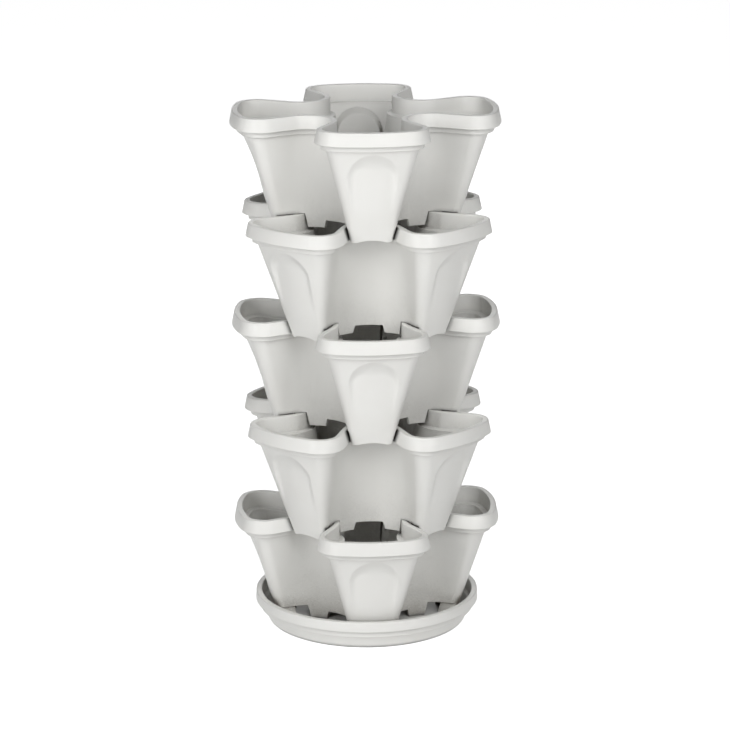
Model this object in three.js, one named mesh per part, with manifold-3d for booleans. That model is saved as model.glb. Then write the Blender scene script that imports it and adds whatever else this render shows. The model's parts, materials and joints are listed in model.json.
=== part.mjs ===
// Five-tier planter tower: four-lobed pots stacked on a round saucer, each turned half a lobe.
// Millimetres, +Z up, origin at the centre of the saucer's underside.
import * as THREE from 'three';
import { mergeVertices } from 'three/addons/utils/BufferGeometryUtils.js';
import Module from 'manifold-3d';

// The stack
const tierCount = 5;
const lobeCount = 4;
const lobeTurn = 2 * Math.PI / lobeCount;
const tierTurn = lobeTurn / 2;
const restGap = 0.3;
const potHeight = 142.5;
const seatHeight = 17.4;

// The pot's rim: its outer top edge, seen from above, is one arc on a lobe's face, one on its
// corner and one in the valley between two lobes. A lobe spreads as it reaches out.
const rimReach = 161.5;
const rimSpreadStart = 83.1;
const rimFaceRadius = 163;
const rimCornerRadius = 26.5;
const rimCornerSpan = (rimReach - rimSpreadStart) / 2;
const rimValleyRadius = 30.2;
const rimValleyReach = 76.3;

// The pot's lip and its turned-down skirt, which the saucer has too
const wall = 2.5;
const lipWidth = 7;
const lipThickness = 2.4;
const skirtDrop = 16.4;
const skirtFlare = 3.5;
const skirtThickness = 2.1;

// The wall steps in below the skirt, and the pot above drops in as far as that shoulder
const shoulderDrop = 23.6;
const shoulderStep = 6.1;
const shoulderSlope = 0.9;

// The pot's foot: the same three arcs at the lowest edge
const footReach = 111.8;
const footFaceRadius = 90;
const footCornerRadius = 7;
const footValleyRadius = 56;
const footValleyReach = 50;
const floorThickness = 2.5;

// Slots in the foot let the rim below pass through, with more room at the bottom
const slotClearance = 0.8;
const slotTaper = 3;
const notchFootWidth = 39;
const notchHeadWidth = 33.6;
const notchHeight = 9.5;
const tongueArch = 3.2;
const tongueClearance = 1.1;
const cutOverrun = 4;

// A lobe's tongue hangs inside the valley of the rim below
const footCornerSpan = rimValleyRadius - skirtFlare - slotClearance - tongueClearance
  - footCornerRadius;

// The arched panel pressed into each lobe's face, deepest below its crown
const archDepth = 2.8;
const archHeadroom = 4.5;
const archRise = 29.5;
const archWidth = 60;
const archFootWidth = 45.4;
const archFadeHeight = 37;
const archTail = 6;

// Drain holes in the pot's floor
const centreHoleRadius = 9;
const lobeHoleRadius = 5;
const lobeHoleReach = 92;

// The saucer, whose floor leaves room round the lowest pot's foot
const saucerClearance = 5.3;
const saucerHeight = 38.7;
const saucerFloorHeight = 5.6;
const saucerFloorThickness = 2.5;
const saucerSkirtDrop = 12.4;
const saucerSkirtFlare = 0.9;
const saucerShoulderDrop = 20.3;
const saucerShoulderStep = 4.8;
const saucerSideRun = 7;
const saucerFootRound = 7.5;
const saucerRingWidth = 5;

// How finely arcs are cut
const faceSteps = 2;
const cornerSteps = 3;
const valleySteps = 2;
const archSteps = 4;
const archColumns = 3;
const holeSides = 8;
const saucerSides = 40;

const wasm = await Module();
wasm.setup();

// Solids

// A closed geometry as a solid for joining and cutting
function solidFrom(geometry) {
  const bare = geometry.clone();
  bare.deleteAttribute('normal');
  bare.deleteAttribute('uv');
  const merged = mergeVertices(bare);
  const corners = merged.index.array;
  const triangles = [];
  for (let i = 0; i < corners.length; i += 3) {
    const [a, b, c] = [corners[i], corners[i + 1], corners[i + 2]];
    if (a !== b && b !== c && c !== a) triangles.push(a, b, c);
  }
  const mesh = new wasm.Mesh({
    numProp: 3,
    vertProperties: new Float32Array(merged.attributes.position.array),
    triVerts: new Uint32Array(triangles),
  });
  return new wasm.Manifold(mesh);
}

function geometryFrom(solid) {
  const mesh = solid.getMesh();
  const geometry = new THREE.BufferGeometry();
  geometry.setAttribute('position', new THREE.BufferAttribute(mesh.vertProperties, 3));
  geometry.setIndex(new THREE.BufferAttribute(mesh.triVerts, 1));
  return geometry;
}

function turned(geometry, angle) {
  return geometry.clone().rotateZ(angle);
}

// Joins or cuts one copy of a shape per lobe, each turned to its place
function eachLobe(solid, action, geometry, startAngle = 0) {
  let result = solid;
  for (let lobe = 0; lobe < lobeCount; lobe++) {
    result = result[action](solidFrom(turned(geometry, startAngle + lobe * lobeTurn)));
  }
  return result;
}

function surface(points, triangles) {
  const geometry = new THREE.BufferGeometry();
  geometry.setAttribute('position', new THREE.Float32BufferAttribute(points.flat(), 3));
  geometry.setIndex(triangles);
  return geometry;
}

// Skins rings of equal count, from the lowest inside, out, up and over to the inside again.
// Capped ends close on the axis; otherwise the last ring joins the first.
function loft(rings, capped) {
  const count = rings[0].length;
  const loops = capped
    ? [rings[0].map(([, , z]) => [0, 0, z]), ...rings, rings.at(-1).map(([, , z]) => [0, 0, z])]
    : [...rings, rings[0]];
  const triangles = [];
  for (let row = 0; row + 1 < loops.length; row++) {
    for (let i = 0; i < count; i++) {
      const next = (i + 1) % count;
      const [a, b] = [row * count + i, row * count + next];
      const [c, d] = [(row + 1) * count + next, (row + 1) * count + i];
      triangles.push(a, b, c, a, c, d);
    }
  }
  return surface(loops.flat(), triangles);
}

// A closed block between two grids of points, the back one and the front one
function block(back, front) {
  const [rows, columns] = [back.length, back[0].length];
  const at = (side, row, column) => (side * rows + row) * columns + column;
  const triangles = [];
  const quad = (a, b, c, d) => triangles.push(a, b, c, a, c, d);
  for (let r = 0; r + 1 < rows; r++) {
    for (let c = 0; c + 1 < columns; c++) {
      quad(at(1, r, c), at(1, r, c + 1), at(1, r + 1, c + 1), at(1, r + 1, c));
      quad(at(0, r, c + 1), at(0, r, c), at(0, r + 1, c), at(0, r + 1, c + 1));
    }
    quad(at(0, r, 0), at(1, r, 0), at(1, r + 1, 0), at(0, r + 1, 0));
    quad(at(1, r, columns - 1), at(0, r, columns - 1),
      at(0, r + 1, columns - 1), at(1, r + 1, columns - 1));
  }
  for (let c = 0; c + 1 < columns; c++) {
    quad(at(0, 0, c), at(0, 0, c + 1), at(1, 0, c + 1), at(1, 0, c));
    quad(at(1, rows - 1, c), at(1, rows - 1, c + 1), at(0, rows - 1, c + 1), at(0, rows - 1, c));
  }
  return surface([back.flat(), front.flat()].flat(), triangles);
}

// Outlines

const rimOutline = {
  reach: rimReach,
  faceRadius: rimFaceRadius,
  cornerRadius: rimCornerRadius,
  cornerSpan: rimCornerSpan,
  valleyRadius: rimValleyRadius,
  valleyReach: rimValleyReach,
};
const footOutline = {
  reach: footReach,
  faceRadius: footFaceRadius,
  cornerRadius: footCornerRadius,
  cornerSpan: footCornerSpan,
  valleyRadius: footValleyRadius,
  valleyReach: footValleyReach,
};

// The same outline moved outwards all round
function grown(outline, distance) {
  return {
    reach: outline.reach + distance,
    faceRadius: outline.faceRadius + distance,
    cornerRadius: outline.cornerRadius + distance,
    cornerSpan: outline.cornerSpan,
    valleyRadius: outline.valleyRadius - distance,
    valleyReach: outline.valleyReach + distance,
  };
}

function blend(low, high, share) {
  const mixed = {};
  for (const key of Object.keys(low)) mixed[key] = low[key] + (high[key] - low[key]) * share;
  return mixed;
}

function arcPoints(centre, radius, from, to, steps) {
  const points = [];
  for (let i = 0; i <= steps; i++) {
    const angle = from + (to - from) * i / steps;
    points.push([centre[0] + radius * Math.cos(angle), centre[1] + radius * Math.sin(angle)]);
  }
  return points;
}

// Half a lobe from the middle of its face to the valley, the lobe pointing along +X
function halfLobe(outline) {
  const { reach, faceRadius, cornerRadius, cornerSpan, valleyRadius, valleyReach } = outline;
  const faceCentre = [reach - faceRadius, 0];
  const cornerCentre = [
    faceCentre[0] + Math.sqrt((faceRadius - cornerRadius) ** 2 - cornerSpan ** 2),
    cornerSpan,
  ];
  const valleyAngle = lobeTurn / 2;
  const valleyCentre = [
    (valleyReach + valleyRadius) * Math.cos(valleyAngle),
    (valleyReach + valleyRadius) * Math.sin(valleyAngle),
  ];
  const faceEnd = Math.atan2(cornerSpan, cornerCentre[0] - faceCentre[0]);
  const across = [valleyCentre[0] - cornerCentre[0], valleyCentre[1] - cornerCentre[1]];
  const between = Math.hypot(...across);
  const lean = Math.acos(Math.min((cornerRadius + valleyRadius) / between, 1));
  const flank = Math.atan2(across[1], across[0]) - lean;
  return [
    ...arcPoints(faceCentre, faceRadius, 0, faceEnd, faceSteps),
    ...arcPoints(cornerCentre, cornerRadius, faceEnd, flank, cornerSteps).slice(1),
    ...arcPoints(valleyCentre, valleyRadius, flank + Math.PI, Math.PI + valleyAngle, valleySteps),
  ];
}

// The whole outline at one height, anticlockwise from a valley
function ring(outline, height, turn = 0) {
  const half = halfLobe(outline);
  const mirrored = half.slice(1).reverse().map(([x, y]) => [x, -y]);
  const lobe = [...mirrored, ...half.slice(0, -1)];
  const points = [];
  for (let k = 0; k < lobeCount; k++) {
    const [cos, sin] = [Math.cos(turn + k * lobeTurn), Math.sin(turn + k * lobeTurn)];
    for (const [x, y] of lobe) points.push([x * cos - y * sin, x * sin + y * cos, height]);
  }
  return points;
}

// The pot, standing on its foot

const shoulderHeight = potHeight - shoulderDrop;
const upperInside = grown(rimOutline, -lipWidth);
const upperOutside = grown(upperInside, wall);
const wallTopOutline = grown(upperOutside, -shoulderStep);
const wallTopHeight = shoulderHeight - shoulderSlope;
const archSpringHeight = wallTopHeight - archHeadroom - archRise;

// The outline of the tapering wall at a height above the foot
function wallOutline(height) {
  return blend(footOutline, wallTopOutline, height / wallTopHeight);
}

function potShell() {
  const hollowTop = potHeight - lipThickness;
  const skirtBottom = potHeight - skirtDrop;
  const floorTop = seatHeight + floorThickness;
  const flareAtHollow = skirtFlare * lipThickness / skirtDrop;
  const skirtFoot = grown(rimOutline, skirtFlare);
  return loft([
    ring(grown(wallOutline(seatHeight), -wall), seatHeight),
    ring(grown(footOutline, -wall), 0),
    ring(footOutline, 0),
    ring(wallTopOutline, wallTopHeight),
    ring(upperOutside, shoulderHeight),
    ring(upperOutside, hollowTop),
    ring(grown(rimOutline, flareAtHollow - skirtThickness), hollowTop),
    ring(grown(skirtFoot, -skirtThickness), skirtBottom),
    ring(skirtFoot, skirtBottom),
    ring(rimOutline, potHeight),
    ring(upperInside, potHeight),
    ring(upperInside, shoulderHeight + wall),
    ring(grown(wallTopOutline, -wall), wallTopHeight + wall),
    ring(grown(wallOutline(floorTop), -wall), floorTop),
  ], true);
}

// The room that the rim below takes up in the foot
function rimSlot() {
  const outside = grown(rimOutline, skirtFlare + slotClearance);
  const inside = grown(upperInside, -slotClearance);
  const below = -cutOverrun;
  return loft([
    ring(grown(inside, -slotTaper), below, tierTurn),
    ring(outside, below, tierTurn),
    ring(outside, seatHeight, tierTurn),
    ring(inside, seatHeight, tierTurn),
  ], false);
}

// A prism whose outline lies across a lobe or valley, the outline's second size being height
function acrossPrism(outline, start, length) {
  const shape = new THREE.Shape(outline.map(([x, y]) => new THREE.Vector2(x, y)));
  const prism = new THREE.ExtrudeGeometry(shape, { depth: length, bevelEnabled: false });
  return prism.rotateX(Math.PI / 2).rotateZ(Math.PI / 2).translate(start, 0, 0);
}

// The notch in the middle of each valley's tab
function valleyNotch() {
  const slope = (notchFootWidth - notchHeadWidth) / 2 / notchHeight;
  const lowest = notchFootWidth / 2 + slope * cutOverrun;
  return acrossPrism([
    [-lowest, -cutOverrun],
    [lowest, -cutOverrun],
    [notchHeadWidth / 2, notchHeight],
    [-notchHeadWidth / 2, notchHeight],
  ], footValleyReach - wall - cutOverrun, footValleyRadius);
}

// The shallow arch under each tongue
function tongueHollow() {
  const span = footCornerSpan;
  const radius = (span ** 2 + tongueArch ** 2) / (2 * tongueArch);
  const half = Math.asin(span / radius);
  const middle = Math.PI / 2;
  const crown = arcPoints([0, tongueArch - radius], radius, middle - half, middle + half, archSteps);
  const start = footReach - footCornerRadius - wall - cutOverrun;
  const sides = [[-span, -cutOverrun], [span, -cutOverrun]];
  return acrossPrism([...sides, ...crown], start, footReach + cutOverrun - start);
}

// A point on a lobe's face at a height, moved inwards by a depth
function facePoint(height, across, depth) {
  const outline = wallOutline(height);
  const radius = outline.faceRadius - depth;
  return [outline.reach - outline.faceRadius + Math.sqrt(radius ** 2 - across ** 2), across, height];
}

function archDepthAt(height) {
  const crown = archSpringHeight + archRise;
  return archDepth * (height - archFadeHeight) / (crown - archFadeHeight);
}

// The rows of the arched panel, from its fading foot to its crown, made wider by an edge
function archRows(edge) {
  const start = archFadeHeight - archTail;
  const rows = [{ height: start, half: 0 }, { height: archSpringHeight, half: 0 }];
  for (const row of rows) {
    const share = row.height / archSpringHeight;
    row.half = (archFootWidth + (archWidth - archFootWidth) * share) / 2 + edge;
  }
  for (let i = 1; i <= archSteps; i++) {
    const angle = Math.PI / 2 * i / archSteps;
    rows.push({
      height: archSpringHeight + (archRise + edge) * Math.sin(angle),
      half: (archWidth / 2 + edge) * Math.cos(angle),
    });
  }
  return rows;
}

function archBlock(edge, backDepth, frontDepth) {
  const grid = (depthAt) => archRows(edge).map(({ height, half }) => {
    const row = [];
    for (let c = 0; c <= archColumns; c++) {
      row.push(facePoint(height, half * (2 * c / archColumns - 1), depthAt(height)));
    }
    return row;
  });
  return block(grid(backDepth), grid(frontDepth));
}

function drainHole(radius, reach) {
  const length = floorThickness + 2 * cutOverrun;
  const hole = new THREE.CylinderGeometry(radius, radius, length, holeSides);
  return hole.rotateX(Math.PI / 2).translate(reach, 0, seatHeight + floorThickness / 2);
}

function potGeometry() {
  let pot = solidFrom(potShell());
  const backing = archBlock(wall, (z) => archDepthAt(z) + wall, () => wall / 2);
  const recess = archBlock(0, archDepthAt, () => -cutOverrun);
  pot = eachLobe(pot, 'add', backing);
  pot = eachLobe(pot, 'subtract', recess);
  pot = pot.subtract(solidFrom(rimSlot()));
  pot = eachLobe(pot, 'subtract', valleyNotch(), tierTurn);
  pot = eachLobe(pot, 'subtract', tongueHollow());
  pot = eachLobe(pot, 'subtract', drainHole(lobeHoleRadius, lobeHoleReach));
  pot = pot.subtract(solidFrom(drainHole(centreHoleRadius, 0)));
  return geometryFrom(pot);
}

// The saucer, one turned profile

function saucerGeometry() {
  const foot = footReach + saucerClearance + saucerFloorThickness + wall;
  const side = foot + saucerSideRun;
  const upper = side + saucerShoulderStep;
  const inside = upper - wall;
  const rim = inside + lipWidth;
  const shoulder = saucerHeight - saucerShoulderDrop;
  const hollowTop = saucerHeight - lipThickness;
  const skirtBottom = saucerHeight - saucerSkirtDrop;
  const skirtFoot = rim + saucerSkirtFlare;
  const flareAtHollow = saucerSkirtFlare * lipThickness / saucerSkirtDrop;
  const underside = saucerFloorHeight - saucerFloorThickness;
  const corner = arcPoints([foot - saucerFootRound, saucerFootRound], saucerFootRound,
    -Math.PI / 2, 0, cornerSteps);
  const ringInside = foot - saucerFootRound - saucerRingWidth;
  const profile = [
    [0, underside],
    [ringInside - saucerFloorThickness, underside],
    [ringInside, 0],
    ...corner,
    [side, shoulder - shoulderSlope],
    [upper, shoulder],
    [upper, hollowTop],
    [rim + flareAtHollow - skirtThickness, hollowTop],
    [skirtFoot - skirtThickness, skirtBottom],
    [skirtFoot, skirtBottom],
    [rim, saucerHeight],
    [inside, saucerHeight],
    [inside, shoulder + wall],
    [side - wall, shoulder - shoulderSlope + wall],
    [foot - wall, saucerFloorHeight + saucerFloorThickness],
    [foot - wall - saucerFloorThickness, saucerFloorHeight],
    [0, saucerFloorHeight],
  ];
  const points = profile.map(([r, z]) => new THREE.Vector2(r, z));
  const lathe = new THREE.LatheGeometry(points, saucerSides).rotateX(Math.PI / 2);
  return geometryFrom(solidFrom(lathe));
}

// Assembly

function plastic(color) {
  return new THREE.MeshStandardMaterial({ color, roughness: 0.5, metalness: 0 });
}

function part(name, geometry, material) {
  const mesh = new THREE.Mesh(geometry, material);
  mesh.name = name;
  return mesh;
}

const group = new THREE.Group();
group.add(part('saucer', saucerGeometry(), plastic('#e4e5e1')));
const pot = potGeometry();
const tierPitch = potHeight - seatHeight + restGap;
for (let tier = 0; tier < tierCount; tier++) {
  const mesh = part(`pot_tier_${tier + 1}`, pot.clone(), plastic('#e6e7e3'));
  mesh.position.z = saucerFloorHeight + restGap + tier * tierPitch;
  mesh.rotation.z = (tier % 2) * tierTurn;
  group.add(mesh);
}

export default group;
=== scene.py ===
"""A planter tower of five stacked four-lobed pots on a round drip saucer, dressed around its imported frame."""

import json
import math
from typing import NamedTuple

import bmesh
import bpy
import numpy as np
from bpy.props import FloatProperty, IntProperty, PointerProperty, StringProperty
from mathutils import Matrix, Quaternion, Vector


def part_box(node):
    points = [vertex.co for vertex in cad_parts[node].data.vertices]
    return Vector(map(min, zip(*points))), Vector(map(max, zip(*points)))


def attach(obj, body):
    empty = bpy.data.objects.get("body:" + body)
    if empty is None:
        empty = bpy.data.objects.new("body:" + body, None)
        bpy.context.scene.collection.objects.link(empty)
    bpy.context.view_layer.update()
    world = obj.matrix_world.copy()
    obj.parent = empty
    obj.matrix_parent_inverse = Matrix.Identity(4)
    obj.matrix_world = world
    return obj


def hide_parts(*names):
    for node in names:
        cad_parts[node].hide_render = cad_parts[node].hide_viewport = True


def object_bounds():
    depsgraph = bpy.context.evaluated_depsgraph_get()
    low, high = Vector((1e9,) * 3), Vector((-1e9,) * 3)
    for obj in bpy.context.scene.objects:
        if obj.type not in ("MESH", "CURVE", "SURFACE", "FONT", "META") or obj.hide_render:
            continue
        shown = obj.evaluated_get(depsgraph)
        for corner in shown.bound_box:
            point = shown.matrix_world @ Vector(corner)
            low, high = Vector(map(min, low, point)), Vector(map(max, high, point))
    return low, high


bl_info = {
    "name": "Planter tower",
    "version": (1, 0, 0),
    "blender": (4, 5, 0),
    "location": "3D View > Sidebar > Planter",
    "description": "Builds a tower of stacked four-lobed planter pots on a drip saucer",
    "category": "Object",
}

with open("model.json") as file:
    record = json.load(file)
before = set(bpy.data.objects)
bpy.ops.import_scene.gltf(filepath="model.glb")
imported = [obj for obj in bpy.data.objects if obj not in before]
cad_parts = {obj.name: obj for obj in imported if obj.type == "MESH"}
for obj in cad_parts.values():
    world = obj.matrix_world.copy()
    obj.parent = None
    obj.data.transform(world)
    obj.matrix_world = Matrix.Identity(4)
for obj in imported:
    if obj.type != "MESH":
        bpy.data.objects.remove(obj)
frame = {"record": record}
CAD_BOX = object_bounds()

MM = 0.001
LOBES = 4
LOBE_TURN = math.tau / LOBES
TIER_BODIES = {node: body for body, nodes in frame["record"]["behaviour"]["bodies"].items() for node in nodes}
TIER_NODES = sorted(node for node in TIER_BODIES if node.startswith("pot_tier"))
POT_LOW, POT_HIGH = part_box(TIER_NODES[-1])
SAUCER_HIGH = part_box("saucer")[1]

# Roundings and widths as shares of another size
SHOULDER_ROUND = 0.7
SKIRT_ROUND = 0.35
SAUCER_EDGE_ROUND = 0.5
SAUCER_FILLET = 3
SAUCER_MIDDLE = 0.3
FLOOR_SHARES = [0.8, 0.6, 0.4, 0.2]
ABOVE_FILLET = 2

# How finely curves are drawn
ROUNDING_POINTS = 5
DRAIN_STEPS = 32
TONGUE_STEPS = 16
PLAIN_WALL_SPACING = 4
NEARLY_STRAIGHT = math.radians(88)
SHARP_ANGLE = math.radians(32)

# The plastic's gloss varies by this much, and its shading looks this often for other walls
GLOSS_VARIATION = 0.05
OPENNESS_SAMPLES = 8


def millimetres(name, size, description):
    """A length property whose default is given in millimetres."""
    return FloatProperty(name=name, description=description, default=size * MM, unit="LENGTH", precision=5)


def share(name, value, description):
    """A property from nothing to all."""
    return FloatProperty(name=name, description=description, default=value, min=0, max=1, subtype="FACTOR")


def hex_colour(name, value, description):
    """A colour property held as an sRGB hex value."""
    return StringProperty(name=name, description=description, default=value)


# Sizes


class PotSizes(bpy.types.PropertyGroup):
    """One pot, standing on its foot"""
    height: millimetres("Height", (POT_HIGH.z - POT_LOW.z) / MM, "Foot to the top of the lip")
    seat: millimetres("Nest", 17.4, "How far the foot drops into the pot below")
    wall: millimetres("Wall", 2.5, "Thickness of the wall")
    floor: millimetres("Floor", 2.5, "Thickness of the floor")
    rim_reach: millimetres("Rim reach", 161.5, "Axis to the middle of a lobe's face, at the lip's top edge")
    rim_face: millimetres("Rim face radius", 163, "Radius of a lobe's face at the lip")
    rim_corner: millimetres("Rim corner radius", 26.5, "Radius of a lobe's corners at the lip")
    rim_span: millimetres("Rim corner span", 39.2, "Middle of a lobe to its corner's centre, at the lip")
    rim_valley: millimetres("Rim valley radius", 30.2, "Radius between two lobes at the lip")
    rim_valley_reach: millimetres("Rim valley reach", 76.3, "Axis to the valley at the lip")
    foot_reach: millimetres("Foot reach", 111.8, "Axis to the middle of a lobe's face, at the foot")
    foot_face: millimetres("Foot face radius", 90, "Radius of a lobe's face at the foot")
    foot_corner: millimetres("Foot corner radius", 7, "Radius of a lobe's corners at the foot")
    foot_span: millimetres("Foot corner span", 17.8, "Middle of a lobe to its corner's centre, at the foot")
    foot_valley: millimetres("Foot valley radius", 56, "Radius between two lobes at the foot")
    foot_valley_reach: millimetres("Foot valley reach", 50, "Axis to the valley at the foot")
    lip_width: millimetres("Lip width", 7, "Width of the flat lip")
    lip_round: millimetres("Lip rounding", 1.2, "Radius of the lip's edges")
    lip_thickness: millimetres("Lip thickness", 2.4, "Thickness of the lip")
    skirt_drop: millimetres("Skirt drop", 16.4, "How far the turned-down skirt hangs")
    skirt_flare: millimetres("Skirt flare", 3.5, "How far the skirt leans out")
    skirt_thickness: millimetres("Skirt thickness", 2.1, "Thickness of the skirt")
    shoulder_drop: millimetres("Shoulder drop", 23.6, "Lip to the shoulder below it")
    shoulder_step: millimetres("Shoulder step", 6.1, "How far the wall steps in at the shoulder")
    shoulder_slope: millimetres("Shoulder slope", 0.9, "Height of the shoulder's slope")
    fillet: millimetres("Fillet", 1.6, "Radius where the walls meet the shoulder and the floor")


class FootSizes(bpy.types.PropertyGroup):
    """What is cut out of a pot's foot"""
    clearance: millimetres("Slot clearance", 0.8, "Room for the rim below")
    taper: millimetres("Slot taper", 3, "Extra room at the slot's mouth, on the inside")
    notch_foot: millimetres("Notch foot width", 39, "Width of a tab's notch at the bottom")
    notch_head: millimetres("Notch head width", 33.6, "Width of a tab's notch at the top")
    notch_height: millimetres("Notch height", 9.5, "Height of a tab's notch")
    tongue_arch: millimetres("Tongue arch", 3.2, "Rise of the arch under a lobe's tongue")
    centre_hole: millimetres("Centre drain radius", 9, "Radius of the drain hole in the middle")
    lobe_hole: millimetres("Lobe drain radius", 5, "Radius of a lobe's drain hole")
    lobe_hole_reach: millimetres("Lobe drain reach", 92, "Axis to a lobe's drain hole")
    overrun: millimetres("Overrun", 4, "How far cutters pass the faces they cut")


class ArchSizes(bpy.types.PropertyGroup):
    """The arched panel pressed into each lobe's face"""
    depth: millimetres("Depth", 6.5, "Depth below the crown")
    spring: millimetres("Spring height", 85, "Foot to where the crown starts")
    rise: millimetres("Rise", 29.5, "Height of the crown")
    width: millimetres("Width", 60, "Width where the crown starts")
    foot_width: millimetres("Foot width", 45.4, "Width that the sides would have at the foot")
    fade: millimetres("Fade height", 37, "Foot to where the panel meets the face")
    side_edge: millimetres("Side edge", 7, "Width of the slope down into the panel, at its sides")
    crown_edge: millimetres("Crown edge", 23, "Width of the slope down into the panel, at its crown")
    edge_round: share("Edge rounding", 0.05, "Share of that slope over which its upper edge is rounded")
    inner_edge: share("Inner edge", 0.25, "Width of those slopes on the wall's inside, outside being one")
    inner_depth: FloatProperty(name="Inner depth", default=2.2,
                               description="Depth of the panel on the wall's inside, outside being one")


class SaucerSizes(bpy.types.PropertyGroup):
    """The drip saucer"""
    rim_radius: millimetres("Rim radius", 138.4, "Radius of the lip's top edge")
    floor_height: millimetres("Floor height", 5.6, "Ground to the top of the floor")
    floor: millimetres("Floor", 2.5, "Thickness of the floor")
    skirt_drop: millimetres("Skirt drop", 12.4, "How far the turned-down skirt hangs")
    skirt_flare: millimetres("Skirt flare", 0.9, "How far the skirt leans out")
    shoulder_drop: millimetres("Shoulder drop", 20.3, "Lip to the shoulder below it")
    shoulder_step: millimetres("Shoulder step", 4.8, "How far the side steps in at the shoulder")
    side_run: millimetres("Side run", 7, "How far the side leans in to the foot")
    foot_round: millimetres("Foot rounding", 7.5, "Radius of the lower edge")
    ring_width: millimetres("Foot ring width", 5, "Width of the ring that the saucer stands on")


class Finish(bpy.types.PropertyGroup):
    """Polypropylene, moulded in a satin tool, and the shade painted into its colour"""
    colour: hex_colour("Colour", "#E9E9E6", "Stone white of the plastic")
    shade: hex_colour("Darker colour", "#E5E4E0", "The plastic where it flowed last")
    roughness: share("Roughness", 0.46, "Gloss of the satin surface")
    grain: millimetres("Grain", 1.1, "Spacing of the tool's texture, drawn coarser than the real one")
    grain_depth: millimetres("Grain depth", 0.012, "Depth of the tool's texture")
    ripple: millimetres("Ripple", 45, "Length of the faint waves left by shrinkage")
    ripple_depth: millimetres("Ripple depth", 0.05, "Depth of those waves")
    # Painted shade: the next four settings darken the plastic's colour towards brown where other walls shut out
    # the light, deep inside the tower.
    deep: hex_colour("Deep colour", "#5A4F43", "The plastic deep inside the tower, where little light comes")
    painted_shade_reach: millimetres("Deep reach", 110, "How far the plastic looks for walls that shade it")
    painted_shade_from: share("Deep from", 0.06, "Openness at which the plastic is wholly in the deep colour")
    painted_shade_to: share("Deep to", 0.26, "Openness at which none of the deep colour is left")
    # Painted shade in tight corners: the next four settings darken the plastic's colour where walls nearly
    # meet.
    painted_crease_shade: share("Crease", 0.65, "How much darker the plastic is in a tight corner")
    painted_crease_reach: millimetres("Crease reach", 8, "How near another wall has to be for that")
    painted_crease_from: share("Crease from", 0.3, "Openness at which it is that much darker")
    painted_crease_to: share("Crease to", 0.8, "Openness at which none of that is left")


class StageSizes(bpy.types.PropertyGroup):
    """Floor, lights and camera"""
    azimuth: FloatProperty(name="Azimuth", description="Camera's turn to the right of the front",
                           default=-0.0655, subtype="ANGLE")
    elevation: FloatProperty(name="Elevation", description="Camera's height above the horizon",
                             default=0.2666, subtype="ANGLE")
    roll: FloatProperty(name="Roll", description="Camera's tilt to the side",
                        default=-0.0033, subtype="ANGLE")
    distance: millimetres("Distance", 4147, "Camera to the point that it looks at")
    aim_height: millimetres("Aim height", 326.9, "Ground to the point that the camera looks at")
    aim_side: millimetres("Aim side", -1.3, "The point's place to the right of the axis")
    lens: FloatProperty(name="Focal length", description="Camera's focal length",
                        default=165.6, unit="CAMERA")
    floor_half: FloatProperty(name="Floor", description="Axis to the floor's edge", default=20, unit="LENGTH")
    floor_colour: hex_colour("Floor colour", "#F0F0F0", "Matt white of the sweep, as the lamps see it")
    floor_glow: FloatProperty(name="Floor glow", description="How white the sweep is to the camera",
                              default=0.94)
    sky: FloatProperty(name="Sky", description="Light from all round", default=0.035)


class Lamp(NamedTuple):
    """A soft box that looks at the middle of the tower: degrees, metres and watts."""
    azimuth: float
    elevation: float
    distance: float
    width: float
    height: float
    power: float


LAMPS = {
    "key": Lamp(azimuth=-42, elevation=14, distance=3, width=1.4, height=1.8, power=37),
    "front": Lamp(azimuth=20, elevation=22, distance=3, width=1.4, height=1.8, power=33),
    "right": Lamp(azimuth=75, elevation=10, distance=3, width=1.4, height=1.8, power=7),
    "top": Lamp(azimuth=0, elevation=50, distance=3, width=1.4, height=1.8, power=20),
    "back": Lamp(azimuth=180, elevation=16, distance=3, width=1.4, height=1.8, power=16),
}


def sizes():
    return bpy.context.scene.planter


class PlanterSettings(bpy.types.PropertyGroup):
    """All sizes and colours of the planter tower"""
    pot: PointerProperty(type=PotSizes)
    foot: PointerProperty(type=FootSizes)
    arch: PointerProperty(type=ArchSizes)
    saucer: PointerProperty(type=SaucerSizes)
    finish: PointerProperty(type=Finish)
    stage: PointerProperty(type=StageSizes)
    face_steps: IntProperty(name="Face steps", description="Columns over half a lobe's face", default=32)
    corner_steps: IntProperty(name="Corner steps", description="Columns round a lobe's corner", default=9)
    flank_steps: IntProperty(name="Flank steps", description="Columns along a lobe's flank", default=3)
    valley_steps: IntProperty(name="Valley steps", description="Columns over half a valley", default=10)
    wall_step: millimetres("Wall step", 1.4, "Height between two rings of the wall's arched panel")
    saucer_steps: IntProperty(name="Saucer steps", description="Columns round the saucer", default=192)


# Outlines of the pot, seen from above


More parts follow.
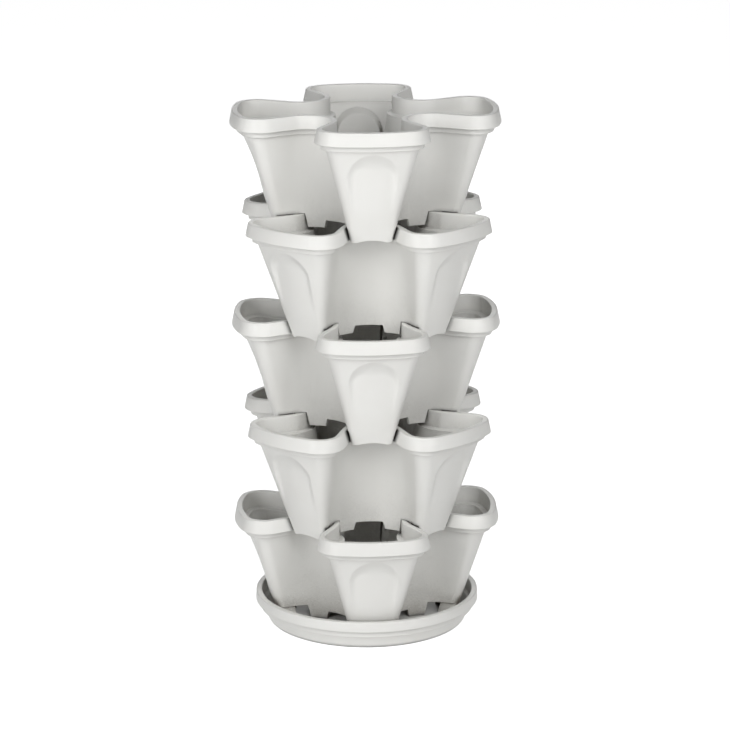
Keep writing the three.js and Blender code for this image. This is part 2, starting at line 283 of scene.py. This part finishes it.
class Outline:
    """A four-lobed outline: an arc on each lobe's face, one on each corner and one in each valley."""

    def __init__(self, values):
        self.values = np.array(values, float)

    def grown(self, distance):
        """The same outline moved outwards all round."""
        return Outline(self.values + np.array([1, 1, 1, 0, -1, 1]) * distance)

    def scaled(self, factor):
        return Outline(self.values * factor)

    def towards(self, other, amount):
        return Outline(self.values + (other.values - self.values) * amount)

    def half_lobe(self):
        """Points from the middle of a lobe's face to the valley, the lobe pointing along +X."""
        p = sizes()
        reach, face, corner, span, valley, valley_reach = self.values
        face_centre = np.array([reach - face, 0])
        corner_centre = np.array([reach - face + math.sqrt((face - corner) ** 2 - span ** 2), span])
        turn = LOBE_TURN / 2
        valley_centre = (valley_reach + valley) * np.array([math.cos(turn), math.sin(turn)])
        face_end = math.atan2(span, corner_centre[0] - face_centre[0])
        across = valley_centre - corner_centre
        lean = math.acos(min((corner + valley) / np.hypot(*across), 1))
        flank = math.atan2(across[1], across[0]) - lean
        face_arc = arc(face_centre, face, 0, face_end, p.face_steps)
        corner_arc = arc(corner_centre, corner, face_end, flank, p.corner_steps)
        valley_arc = arc(valley_centre, valley, flank + math.pi, math.pi + turn, p.valley_steps)
        steps = np.linspace(0, 1, p.flank_steps + 1)[1:-1, None]
        straight = corner_arc[-1] + (valley_arc[0] - corner_arc[-1]) * steps
        return np.vstack([face_arc, corner_arc[1:], straight, valley_arc])

    def lobe(self):
        half = self.half_lobe()
        return np.vstack([half[:0:-1] * [1, -1], half[:-1]])


def arc(centre, radius, start, end, steps):
    angles = np.linspace(start, end, steps + 1)
    return np.array(centre) + radius * np.column_stack([np.cos(angles), np.sin(angles)])


def all_lobes(lobe, height):
    """A closed ring of points at one height, made of one lobe's points turned to its four places."""
    rows = []
    for k in range(LOBES):
        cos, sin = math.cos(k * LOBE_TURN), math.sin(k * LOBE_TURN)
        turned = lobe @ np.array([[cos, sin], [-sin, cos]])
        rows.append(np.column_stack([turned, np.full(len(turned), height)]))
    return np.vstack(rows)


def rim_outline():
    p = sizes().pot
    return Outline([p.rim_reach, p.rim_face, p.rim_corner, p.rim_span, p.rim_valley, p.rim_valley_reach])


def foot_outline():
    p = sizes().pot
    return Outline([p.foot_reach, p.foot_face, p.foot_corner, p.foot_span, p.foot_valley,
                    p.foot_valley_reach])


# Meshes


def mesh_from(name, vertices, faces):
    mesh = bpy.data.meshes.new(name)
    mesh.from_pydata([tuple(v) for v in vertices], [], faces)
    mesh.validate()
    mesh.update()
    return mesh


def new_object(name, mesh):
    item = bpy.data.objects.new(name, mesh)
    bpy.context.scene.collection.objects.link(item)
    return item


def skin(name, rings, capped):
    """Skins rings of equal count; capped ends close on the axis, otherwise the last ring joins the first."""
    count = len(rings[0])
    points = np.vstack(rings)
    index = np.arange(len(points)).reshape(len(rings), count)
    pairs = list(zip(index[:-1], index[1:])) + ([] if capped else [(index[-1], index[0])])
    faces = []
    for low, high in pairs:
        quads = np.column_stack([low, np.roll(low, -1), np.roll(high, -1), high])
        faces.extend(quads.tolist())
    if capped:
        first, last = len(points), len(points) + 1
        points = np.vstack([points, [0, 0, rings[0][0][2]], [0, 0, rings[-1][0][2]]])
        ends = zip(index[0], np.roll(index[0], -1))
        faces.extend([first, int(b), int(a)] for a, b in ends)
        tops = zip(index[-1], np.roll(index[-1], -1))
        faces.extend([last, int(a), int(b)] for a, b in tops)
    return mesh_from(name, points, faces)


def rounded(corners, radii):
    """An open profile of (outward, height) corners, each rounded with its own radius."""
    corners = [np.array(c, float) for c in corners]
    points = [corners[0]]
    for before, corner, after, radius in zip(corners, corners[1:], corners[2:], radii):
        a, b = before - corner, after - corner
        length_a, length_b = np.hypot(*a), np.hypot(*b)
        a, b = a / length_a, b / length_b
        half = math.acos(np.clip(a @ b, -1, 1)) / 2
        if radius <= 0 or half > NEARLY_STRAIGHT:
            points.append(corner)
            continue
        cut = min(radius / math.tan(half), length_a / 2, length_b / 2)
        radius = cut * math.tan(half)
        middle = (a + b) / np.hypot(*(a + b))
        centre = corner + middle * radius / math.sin(half)
        start, end = corner + a * cut - centre, corner + b * cut - centre
        first = math.atan2(start[1], start[0])
        sweep = math.remainder(math.atan2(end[1], end[0]) - first, math.tau)
        for angle in np.linspace(first, first + sweep, ROUNDING_POINTS):
            points.append(centre + radius * np.array([math.cos(angle), math.sin(angle)]))
    points.append(corners[-1])
    return points


def cut(target, cutters):
    """Takes closed meshes that don't touch each other out of another mesh."""
    joined = bmesh.new()
    for mesh in cutters:
        joined.from_mesh(mesh)
    cutter = new_object("cutter", bpy.data.meshes.new("cutter"))
    joined.to_mesh(cutter.data)
    joined.free()
    modifier = target.modifiers.new("cut", "BOOLEAN")
    modifier.operation = "DIFFERENCE"
    modifier.solver = "MANIFOLD"
    modifier.object = cutter
    apply_modifiers(target)
    bpy.data.objects.remove(cutter)


def apply_modifiers(item):
    graph = bpy.context.evaluated_depsgraph_get()
    graph.update()
    mesh = bpy.data.meshes.new_from_object(item.evaluated_get(graph))
    item.modifiers.clear()
    item.data = mesh


def smooth(mesh):
    for polygon in mesh.polygons:
        polygon.use_smooth = True
    mesh.set_sharp_from_angle(angle=SHARP_ANGLE)


def between(name, rows):
    """A closed solid between two like rings of points, the first and the second half of the rows."""
    count = len(rows) // 2
    sides = [[i, (i + 1) % count, count + (i + 1) % count, count + i] for i in range(count)]
    caps = [list(range(count))[::-1], list(range(count, 2 * count))]
    mesh = mesh_from(name, rows, sides + caps)
    face_outwards(mesh)
    return mesh


def prism(name, outline, start, end, turn):
    """A prism whose outline lies across a lobe or valley (across, height), from start to end along it."""
    rows = []
    for along in (start, end):
        for across, height in outline:
            x = along * math.cos(turn) - across * math.sin(turn)
            y = along * math.sin(turn) + across * math.cos(turn)
            rows.append((x, y, height))
    return between(name, rows)


def face_outwards(mesh):
    work = bmesh.new()
    work.from_mesh(mesh)
    bmesh.ops.recalc_face_normals(work, faces=work.faces)
    work.to_mesh(mesh)
    work.free()


# The pot


def wall_top():
    p = sizes().pot
    return p.height - p.shoulder_drop - p.shoulder_slope


def wall_outline(height):
    p = sizes().pot
    top = rim_outline().grown(p.wall - p.lip_width - p.shoulder_step)
    return foot_outline().towards(top, height / wall_top())


def pressed(lobe, height, spread, deepening):
    """Moves the points of a lobe's face in by the depth of the arched panel there. Its slopes are spread
    times as wide, and it is deepening times as deep, as on the wall's outside."""
    a = sizes().arch
    across = np.abs(lobe[:, 1])
    side = (a.foot_width + (a.width - a.foot_width) * min(height / a.spring, 1)) / 2
    radius = a.width / 2
    above = max(height - a.spring, 0) * radius / a.rise
    outwards = np.maximum(np.hypot(across, above), MM)
    inside = radius - outwards if above > 0 else side - across
    edge = a.side_edge + (a.crown_edge - a.side_edge) * (above / outwards) ** 2
    slope = np.clip(inside / (edge * spread), 0, 1)
    slope = slope ** 2 / (slope + a.edge_round)
    depth = a.depth * deepening * max((height - a.fade) / (a.spring + a.rise - a.fade), 0)
    amount = depth * (1 - (1 - slope) ** 2)
    axis = sizes().pot.rim_reach - sizes().pot.rim_face
    inward = np.column_stack([axis - lobe[:, 0], -lobe[:, 1]])
    inward /= np.hypot(inward[:, 0], inward[:, 1])[:, None]
    return lobe + inward * amount[:, None]


def wall_heights(low, high, step):
    """Heights for the wall's rings: close where the arched panel is, wider below it."""
    a = sizes().arch
    middle = min(max(low, a.fade), high)
    lower = np.linspace(low, middle, max(int((middle - low) / (PLAIN_WALL_SPACING * step)), 2))
    upper = np.linspace(middle, high, max(int((high - middle) / step), 2))
    return np.concatenate([lower, upper[1:]])


def wall_rings(low, high, inset, spread, deepening):
    return [all_lobes(pressed(wall_outline(z).grown(-inset).lobe(), z, spread, deepening), z)
            for z in wall_heights(low, high, sizes().wall_step)]


def pot_shell():
    p = sizes().pot
    rim = rim_outline()
    shoulder = p.height - p.shoulder_drop
    upper = p.wall - p.lip_width
    top = upper - p.shoulder_step
    hollow = p.height - p.lip_thickness
    skirt_foot = p.height - p.skirt_drop
    flare_at_hollow = p.skirt_flare * p.lip_thickness / p.skirt_drop
    ledge = shoulder + p.wall
    outside = rounded([
        (top, wall_top()),
        (upper, shoulder),
        (upper, hollow),
        (flare_at_hollow - p.skirt_thickness, hollow),
        (p.skirt_flare - p.skirt_thickness, skirt_foot),
        (p.skirt_flare, skirt_foot),
        (0, p.height),
        (-p.lip_width, p.height),
        (-p.lip_width, ledge),
        (top - p.wall, ledge - p.shoulder_slope),
    ], [p.lip_round * SHOULDER_ROUND, p.fillet, p.fillet, p.skirt_thickness * SKIRT_ROUND,
        p.skirt_thickness * SKIRT_ROUND, p.lip_round, p.lip_round, p.fillet])
    floor_top = p.seat + p.floor
    inner_floor = wall_outline(floor_top).grown(-p.wall)
    turns = np.linspace(math.pi / 2, 0, ROUNDING_POINTS)
    corner = [inner_floor.grown(-p.fillet * (1 - math.sin(a))) for a in turns]
    corner_heights = [floor_top + p.fillet * (1 - math.cos(a)) for a in turns]
    rings = [all_lobes(wall_outline(p.seat).grown(-p.wall).scaled(s).lobe(), p.seat)
             for s in FLOOR_SHARES[::-1]]
    rings.append(all_lobes(wall_outline(p.seat).grown(-p.wall).lobe(), p.seat))
    rings.append(all_lobes(foot_outline().grown(-p.wall).lobe(), 0))
    rings.extend(wall_rings(0, wall_top(), 0, 1, 1)[:-1])
    rings.extend(all_lobes(rim.grown(out).lobe(), z) for out, z in outside)
    a = sizes().arch
    foot_of_wall = floor_top + ABOVE_FILLET * p.fillet
    rings.extend(wall_rings(foot_of_wall, wall_top(), p.wall, a.inner_edge, a.inner_depth)[::-1])
    rings.extend(all_lobes(o.lobe(), z) for o, z in zip(corner, corner_heights))
    rings.extend(all_lobes(inner_floor.grown(-p.fillet).scaled(s).lobe(), floor_top) for s in FLOOR_SHARES)
    return skin("pot", rings, capped=True)


def rim_slot():
    """The room that the rim below takes up in the foot."""
    p, f = sizes().pot, sizes().foot
    outside = rim_outline().grown(p.skirt_flare + f.clearance).lobe()
    inside = rim_outline().grown(-p.lip_width - f.clearance)
    rings = [
        all_lobes(inside.grown(-f.taper).lobe(), -f.overrun),
        all_lobes(outside, -f.overrun),
        all_lobes(outside, p.seat),
        all_lobes(inside.lobe(), p.seat),
    ]
    mesh = skin("rim_slot", rings, capped=False)
    mesh.transform(Matrix.Rotation(LOBE_TURN / 2, 4, "Z"))
    face_outwards(mesh)
    return mesh


def foot_cutters():
    """The notches in the valleys' tabs and the shallow arches under the tongues."""
    p, f = sizes().pot, sizes().foot
    slope = (f.notch_foot - f.notch_head) / 2 / f.notch_height
    low = f.notch_foot / 2 + slope * f.overrun
    notch = rounded([(-low, -f.overrun), (-f.notch_head / 2, f.notch_height),
                     (f.notch_head / 2, f.notch_height), (low, -f.overrun)], [p.lip_round, p.lip_round])
    radius = (p.foot_span ** 2 + f.tongue_arch ** 2) / (2 * f.tongue_arch)
    half = math.asin(p.foot_span / radius)
    crown = arc((0, f.tongue_arch - radius), radius, math.pi / 2 + half, math.pi / 2 - half, TONGUE_STEPS)
    hollow = [(-p.foot_span, -f.overrun), *crown, (p.foot_span, -f.overrun)]
    near = p.foot_valley_reach - p.wall - f.overrun
    far = p.foot_reach + f.overrun
    start = p.foot_reach - p.foot_corner - p.wall - f.overrun
    for k in range(LOBES):
        yield prism("notch", notch, near, near + p.foot_valley, (k + 0.5) * LOBE_TURN)
        yield prism("hollow", hollow, start, far, k * LOBE_TURN)


def drain_hole(radius, reach, angle):
    p, f = sizes().pot, sizes().foot
    centre = (reach * math.cos(angle), reach * math.sin(angle))
    circle = arc(centre, radius, 0, math.tau, DRAIN_STEPS)[:-1]
    low, high = p.seat - f.overrun, p.seat + p.floor + f.overrun
    rows = [np.column_stack([circle, np.full(len(circle), z)]) for z in (low, high)]
    return between("drain", np.vstack(rows))


def build_pot():
    """One finished pot, standing on its foot at the origin, as a mesh that every tier shares."""
    f = sizes().foot
    pot = new_object("pot_work", pot_shell())
    face_outwards(pot.data)
    drains = [drain_hole(f.lobe_hole, f.lobe_hole_reach, k * LOBE_TURN) for k in range(LOBES)]
    cut(pot, [rim_slot()])
    cut(pot, [*foot_cutters(), *drains, drain_hole(f.centre_hole, 0, 0)])
    mesh = pot.data
    mesh.name = "pot_form"
    smooth(mesh)
    bpy.data.objects.remove(pot)
    return mesh


# The saucer


def build_saucer():
    s, p = sizes().saucer, sizes().pot
    top = SAUCER_HIGH.z
    inside = s.rim_radius - p.lip_width
    upper = inside + p.wall
    shoulder = top - s.shoulder_drop
    side = upper - s.shoulder_step
    foot = side - s.side_run
    hollow = top - p.lip_thickness
    skirt_foot = top - s.skirt_drop
    flare_at_hollow = s.skirt_flare * p.lip_thickness / s.skirt_drop
    underside = s.floor_height - s.floor
    ring_inside = foot - s.foot_round - s.ring_width
    corners = [
        (SAUCER_MIDDLE * ring_inside, underside),
        (ring_inside - s.floor, underside),
        (ring_inside, 0),
        (foot, 0),
        (side, shoulder - p.shoulder_slope),
        (upper, shoulder),
        (upper, hollow),
        (s.rim_radius + flare_at_hollow - p.skirt_thickness, hollow),
        (s.rim_radius + s.skirt_flare - p.skirt_thickness, skirt_foot),
        (s.rim_radius + s.skirt_flare, skirt_foot),
        (s.rim_radius, top),
        (inside, top),
        (inside, shoulder + p.wall),
        (side - p.wall, shoulder - p.shoulder_slope + p.wall),
        (foot - p.wall, s.floor_height),
        (SAUCER_MIDDLE * ring_inside, s.floor_height),
    ]
    edge, skirt_edge = p.lip_round * SAUCER_EDGE_ROUND, p.skirt_thickness * SKIRT_ROUND
    radii = [p.fillet, edge, s.foot_round, edge, p.lip_round * SHOULDER_ROUND, p.fillet, p.fillet,
             skirt_edge, skirt_edge, p.lip_round, p.lip_round, p.fillet, p.lip_round,
             SAUCER_FILLET * p.fillet]
    profile = rounded(corners, radii)
    angles = np.linspace(0, math.tau, sizes().saucer_steps, endpoint=False)
    unit = np.column_stack([np.cos(angles), np.sin(angles)])
    rings = [np.column_stack([unit * r, np.full(len(unit), z)]) for r, z in profile]
    mesh = skin("saucer_form", rings, capped=True)
    face_outwards(mesh)
    smooth(mesh)
    return mesh


# Materials


def linear(hex_value):
    """sRGB hex to a linear colour."""
    channels = [int(hex_value[i:i + 2], 16) / 255 for i in (1, 3, 5)]
    return tuple(c / 12.92 if c <= 0.04045 else ((c + 0.055) / 1.055) ** 2.4 for c in channels) + (1,)


def add_node(tree, kind, settings=None, **links):
    """Adds a node, sets its attributes and inputs, and links sockets to its inputs."""
    node = tree.nodes.new(kind)
    for name, value in (settings or {}).items():
        if hasattr(node, name):
            setattr(node, name, value)
        else:
            node.inputs[name].default_value = value
    for name, socket in links.items():
        tree.links.new(socket, node.inputs[name.replace("_", " ")])
    return node


def polypropylene(name, with_painted_deep_shade):
    """Injection-moulded polypropylene from a satin-textured tool: an even stone white with a broad, soft
    sheen, a barely seen grain, and faint waves where thick and thin walls shrank differently. Shade is painted
    into its colour: darker in tight corners, and, with the painted deep shade, brown where other walls surround
    it closely."""
    f = sizes().finish
    material = bpy.data.materials.new(name)
    material.use_nodes = True
    tree = material.node_tree
    tree.nodes.clear()
    place = add_node(tree, "ShaderNodeTexCoord").outputs["Object"]
    flow = add_node(tree, "ShaderNodeTexNoise", {"Scale": 1 / f.ripple, "Detail": 3, "Roughness": 0.5},
                    Vector=place)
    grain = add_node(tree, "ShaderNodeTexNoise", {"Scale": 1 / f.grain, "Detail": 2, "Roughness": 0.6},
                     Vector=place)
    colour = add_node(tree, "ShaderNodeMix", {"data_type": "RGBA"})
    tree.links.new(flow.outputs["Fac"], colour.inputs[0])
    colour.inputs[6].default_value = linear(f.colour)
    colour.inputs[7].default_value = linear(f.shade)
    tone = colour.outputs[2]
    # Painted shade: where the occlusion test finds walls all round, the colour is mixed towards the deep colour
    # in place of the dark inside of the tower.
    if with_painted_deep_shade:
        openness = add_node(tree, "ShaderNodeAmbientOcclusion",
                            {"Distance": f.painted_shade_reach, "samples": OPENNESS_SAMPLES})
        painted_shade_mask = add_node(tree, "ShaderNodeMapRange",
                          {"interpolation_type": "SMOOTHSTEP", "From Min": f.painted_shade_from,
                           "From Max": f.painted_shade_to}, Value=openness.outputs["AO"])
        painted_deep_shade_mix = add_node(tree, "ShaderNodeMix", {"data_type": "RGBA"})
        tree.links.new(painted_shade_mask.outputs["Result"], painted_deep_shade_mix.inputs[0])
        painted_deep_shade_mix.inputs[6].default_value = linear(f.deep)
        tree.links.new(tone, painted_deep_shade_mix.inputs[7])
        tone = painted_deep_shade_mix.outputs[2]
    # Painted shade: occlusion within a few millimetres darkens the colour in tight corners and under the skirts
    # and shoulders, in place of their shade.
    corner = add_node(tree, "ShaderNodeAmbientOcclusion",
                      {"Distance": f.painted_crease_reach, "samples": OPENNESS_SAMPLES})
    edge = add_node(tree, "ShaderNodeMapRange",
                    {"From Min": f.painted_crease_from, "From Max": f.painted_crease_to, "To Min": 1 - f.painted_crease_shade},
                    Value=corner.outputs["AO"])
    darker = add_node(tree, "ShaderNodeVectorMath", {"operation": "SCALE"}, Scale=edge.outputs["Result"])
    tree.links.new(tone, darker.inputs[0])
    tone = darker.outputs["Vector"]
    gloss = add_node(tree, "ShaderNodeMapRange",
                     {"To Min": f.roughness - GLOSS_VARIATION, "To Max": f.roughness + GLOSS_VARIATION},
                     Value=grain.outputs["Fac"])
    waves = add_node(tree, "ShaderNodeBump", {"Strength": 1.0, "Distance": f.ripple_depth},
                     Height=flow.outputs["Fac"])
    fine = add_node(tree, "ShaderNodeBump", {"Strength": 1.0, "Distance": f.grain_depth},
                    Height=grain.outputs["Fac"], Normal=waves.outputs["Normal"])
    surface = add_node(tree, "ShaderNodeBsdfPrincipled", {"IOR": 1.49}, Base_Color=tone,
                       Roughness=gloss.outputs["Result"], Normal=fine.outputs["Normal"])
    add_node(tree, "ShaderNodeOutputMaterial", Surface=surface.outputs["BSDF"])
    return material


def finish(mesh, name, with_painted_deep_shade):
    """Gives a mesh the planter's plastic all over, with shade painted into its colour."""
    material = polypropylene(name, with_painted_deep_shade)
    mesh.materials.clear()
    mesh.materials.append(material)
    for polygon in mesh.polygons:
        polygon.material_index = 0


def studio_white():
    """A matt white studio sweep, white to the camera and darker only where the tower's shadow falls."""
    s = sizes().stage
    material = bpy.data.materials.new("studio_sweep")
    material.use_nodes = True
    tree = material.node_tree
    tree.nodes.clear()
    matt = add_node(tree, "ShaderNodeBsdfDiffuse", {"Color": linear(s.floor_colour)})
    path = add_node(tree, "ShaderNodeLightPath")
    direct = add_node(tree, "ShaderNodeMath", {"operation": "MAXIMUM"})
    tree.links.new(path.outputs["Is Camera Ray"], direct.inputs[0])
    tree.links.new(path.outputs["Is Glossy Ray"], direct.inputs[1])
    seen = add_node(tree, "ShaderNodeMath", {"operation": "MAXIMUM"})
    tree.links.new(direct.outputs["Value"], seen.inputs[0])
    tree.links.new(path.outputs["Is Transmission Ray"], seen.inputs[1])
    amount = add_node(tree, "ShaderNodeMath", {"operation": "MULTIPLY"})
    tree.links.new(seen.outputs["Value"], amount.inputs[0])
    amount.inputs[1].default_value = s.floor_glow
    glow = add_node(tree, "ShaderNodeEmission", {"Color": (1, 1, 1, 1)}, Strength=amount.outputs["Value"])
    both = add_node(tree, "ShaderNodeAddShader")
    tree.links.new(matt.outputs["BSDF"], both.inputs[0])
    tree.links.new(glow.outputs["Emission"], both.inputs[1])
    add_node(tree, "ShaderNodeOutputMaterial", Surface=both.outputs["Shader"])
    return material


# Operators


class PLANTER_OT_saucer(bpy.types.Operator):
    """Builds the drip saucer"""
    bl_idname = "planter.saucer"
    bl_label = "Saucer"

    def execute(self, context):
        piece = new_object("drip_saucer", build_saucer())
        finish(piece.data, "saucer_polypropylene", with_painted_deep_shade=False)
        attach(piece, TIER_BODIES["saucer"])
        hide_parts("saucer")
        return {"FINISHED"}


class PLANTER_OT_pots(bpy.types.Operator):
    """Builds the five pots, each turned half a lobe on the one below"""
    bl_idname = "planter.pots"
    bl_label = "Pots"

    def execute(self, context):
        straight = build_pot()
        finish(straight, "pot_polypropylene", with_painted_deep_shade=True)
        turned = straight.copy()
        turned.transform(Matrix.Rotation(LOBE_TURN / 2, 4, "Z"))
        for tier, node in enumerate(TIER_NODES):
            piece = new_object(f"planter_pot_{tier + 1}", turned if tier % 2 else straight)
            piece.location.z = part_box(node)[0].z
            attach(piece, TIER_BODIES[node])
            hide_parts(node)
        return {"FINISHED"}


def direction(azimuth, elevation):
    """The direction towards the right of the front by an azimuth and above the horizon by an elevation."""
    return Vector((math.sin(azimuth) * math.cos(elevation), -math.cos(azimuth) * math.cos(elevation),
                   math.sin(elevation)))


def soft_box(name, lamp):
    data = bpy.data.lights.new(name, "AREA")
    data.shape = "RECTANGLE"
    data.size, data.size_y = lamp.width, lamp.height
    data.energy = lamp.power
    box = new_object(name, data)
    away = direction(math.radians(lamp.azimuth), math.radians(lamp.elevation))
    box.location = Vector((0, 0, CAD_BOX[1].z / 2)) + away * lamp.distance
    box.rotation_mode = "QUATERNION"
    box.rotation_quaternion = away.to_track_quat("Z", "Y")


class PLANTER_OT_stage(bpy.types.Operator):
    """Sets up the floor, the lights and the camera"""
    bl_idname = "planter.stage"
    bl_label = "Stage"

    def execute(self, context):
        half = sizes().stage.floor_half
        corners = [(-half, -half, 0), (half, -half, 0), (half, half, 0), (-half, half, 0)]
        floor = new_object("floor", mesh_from("floor", corners, [[0, 1, 2, 3]]))
        floor.data.materials.append(studio_white())
        for name, lamp in LAMPS.items():
            soft_box(name, lamp)
        self.world(context)
        self.camera(context)
        context.scene.view_settings.view_transform = "Standard"
        return {"FINISHED"}

    def world(self, context):
        world = bpy.data.worlds.new("studio")
        context.scene.world = world
        world.use_nodes = True
        tree = world.node_tree
        tree.nodes.clear()
        path = add_node(tree, "ShaderNodeLightPath")
        light = add_node(tree, "ShaderNodeBackground", {"Color": (1, 1, 1, 1), "Strength": sizes().stage.sky})
        white = add_node(tree, "ShaderNodeBackground", {"Color": (1, 1, 1, 1), "Strength": 1.0})
        mix = add_node(tree, "ShaderNodeMixShader", Fac=path.outputs["Is Camera Ray"])
        tree.links.new(light.outputs[0], mix.inputs[1])
        tree.links.new(white.outputs[0], mix.inputs[2])
        add_node(tree, "ShaderNodeOutputWorld", Surface=mix.outputs[0])

    def camera(self, context):
        s = sizes().stage
        data = bpy.data.cameras.new("camera")
        data.lens = s.lens
        camera = new_object("camera", data)
        back = direction(s.azimuth, s.elevation)
        right = Vector((math.cos(s.azimuth), math.sin(s.azimuth), 0))
        aim = Vector((0, 0, s.aim_height)) + right * s.aim_side
        camera.location = aim + back * s.distance
        camera.rotation_mode = "QUATERNION"
        camera.rotation_quaternion = back.to_track_quat("Z", "Y") @ Quaternion((0, 0, 1), s.roll)
        context.scene.camera = camera


class PLANTER_PT_panel(bpy.types.Panel):
    """Lists the planter tower's pieces"""
    bl_label = "Planter tower"
    bl_idname = "PLANTER_PT_panel"
    bl_space_type = "VIEW_3D"
    bl_region_type = "UI"
    bl_category = "Planter"

    def draw(self, context):
        for operator in OPERATORS:
            self.layout.operator(operator.bl_idname)


OPERATORS = (PLANTER_OT_saucer, PLANTER_OT_pots, PLANTER_OT_stage)
CLASSES = (PotSizes, FootSizes, ArchSizes, SaucerSizes, Finish, StageSizes, PlanterSettings, *OPERATORS,
           PLANTER_PT_panel)


def register():
    for item in CLASSES:
        bpy.utils.register_class(item)
    bpy.types.Scene.planter = PointerProperty(type=PlanterSettings)


def unregister():
    del bpy.types.Scene.planter
    for item in reversed(CLASSES):
        bpy.utils.unregister_class(item)


def main():
    register()
    bpy.ops.planter.saucer()
    bpy.ops.planter.pots()
    bpy.ops.planter.stage()


if __name__ == "__main__":
    main()
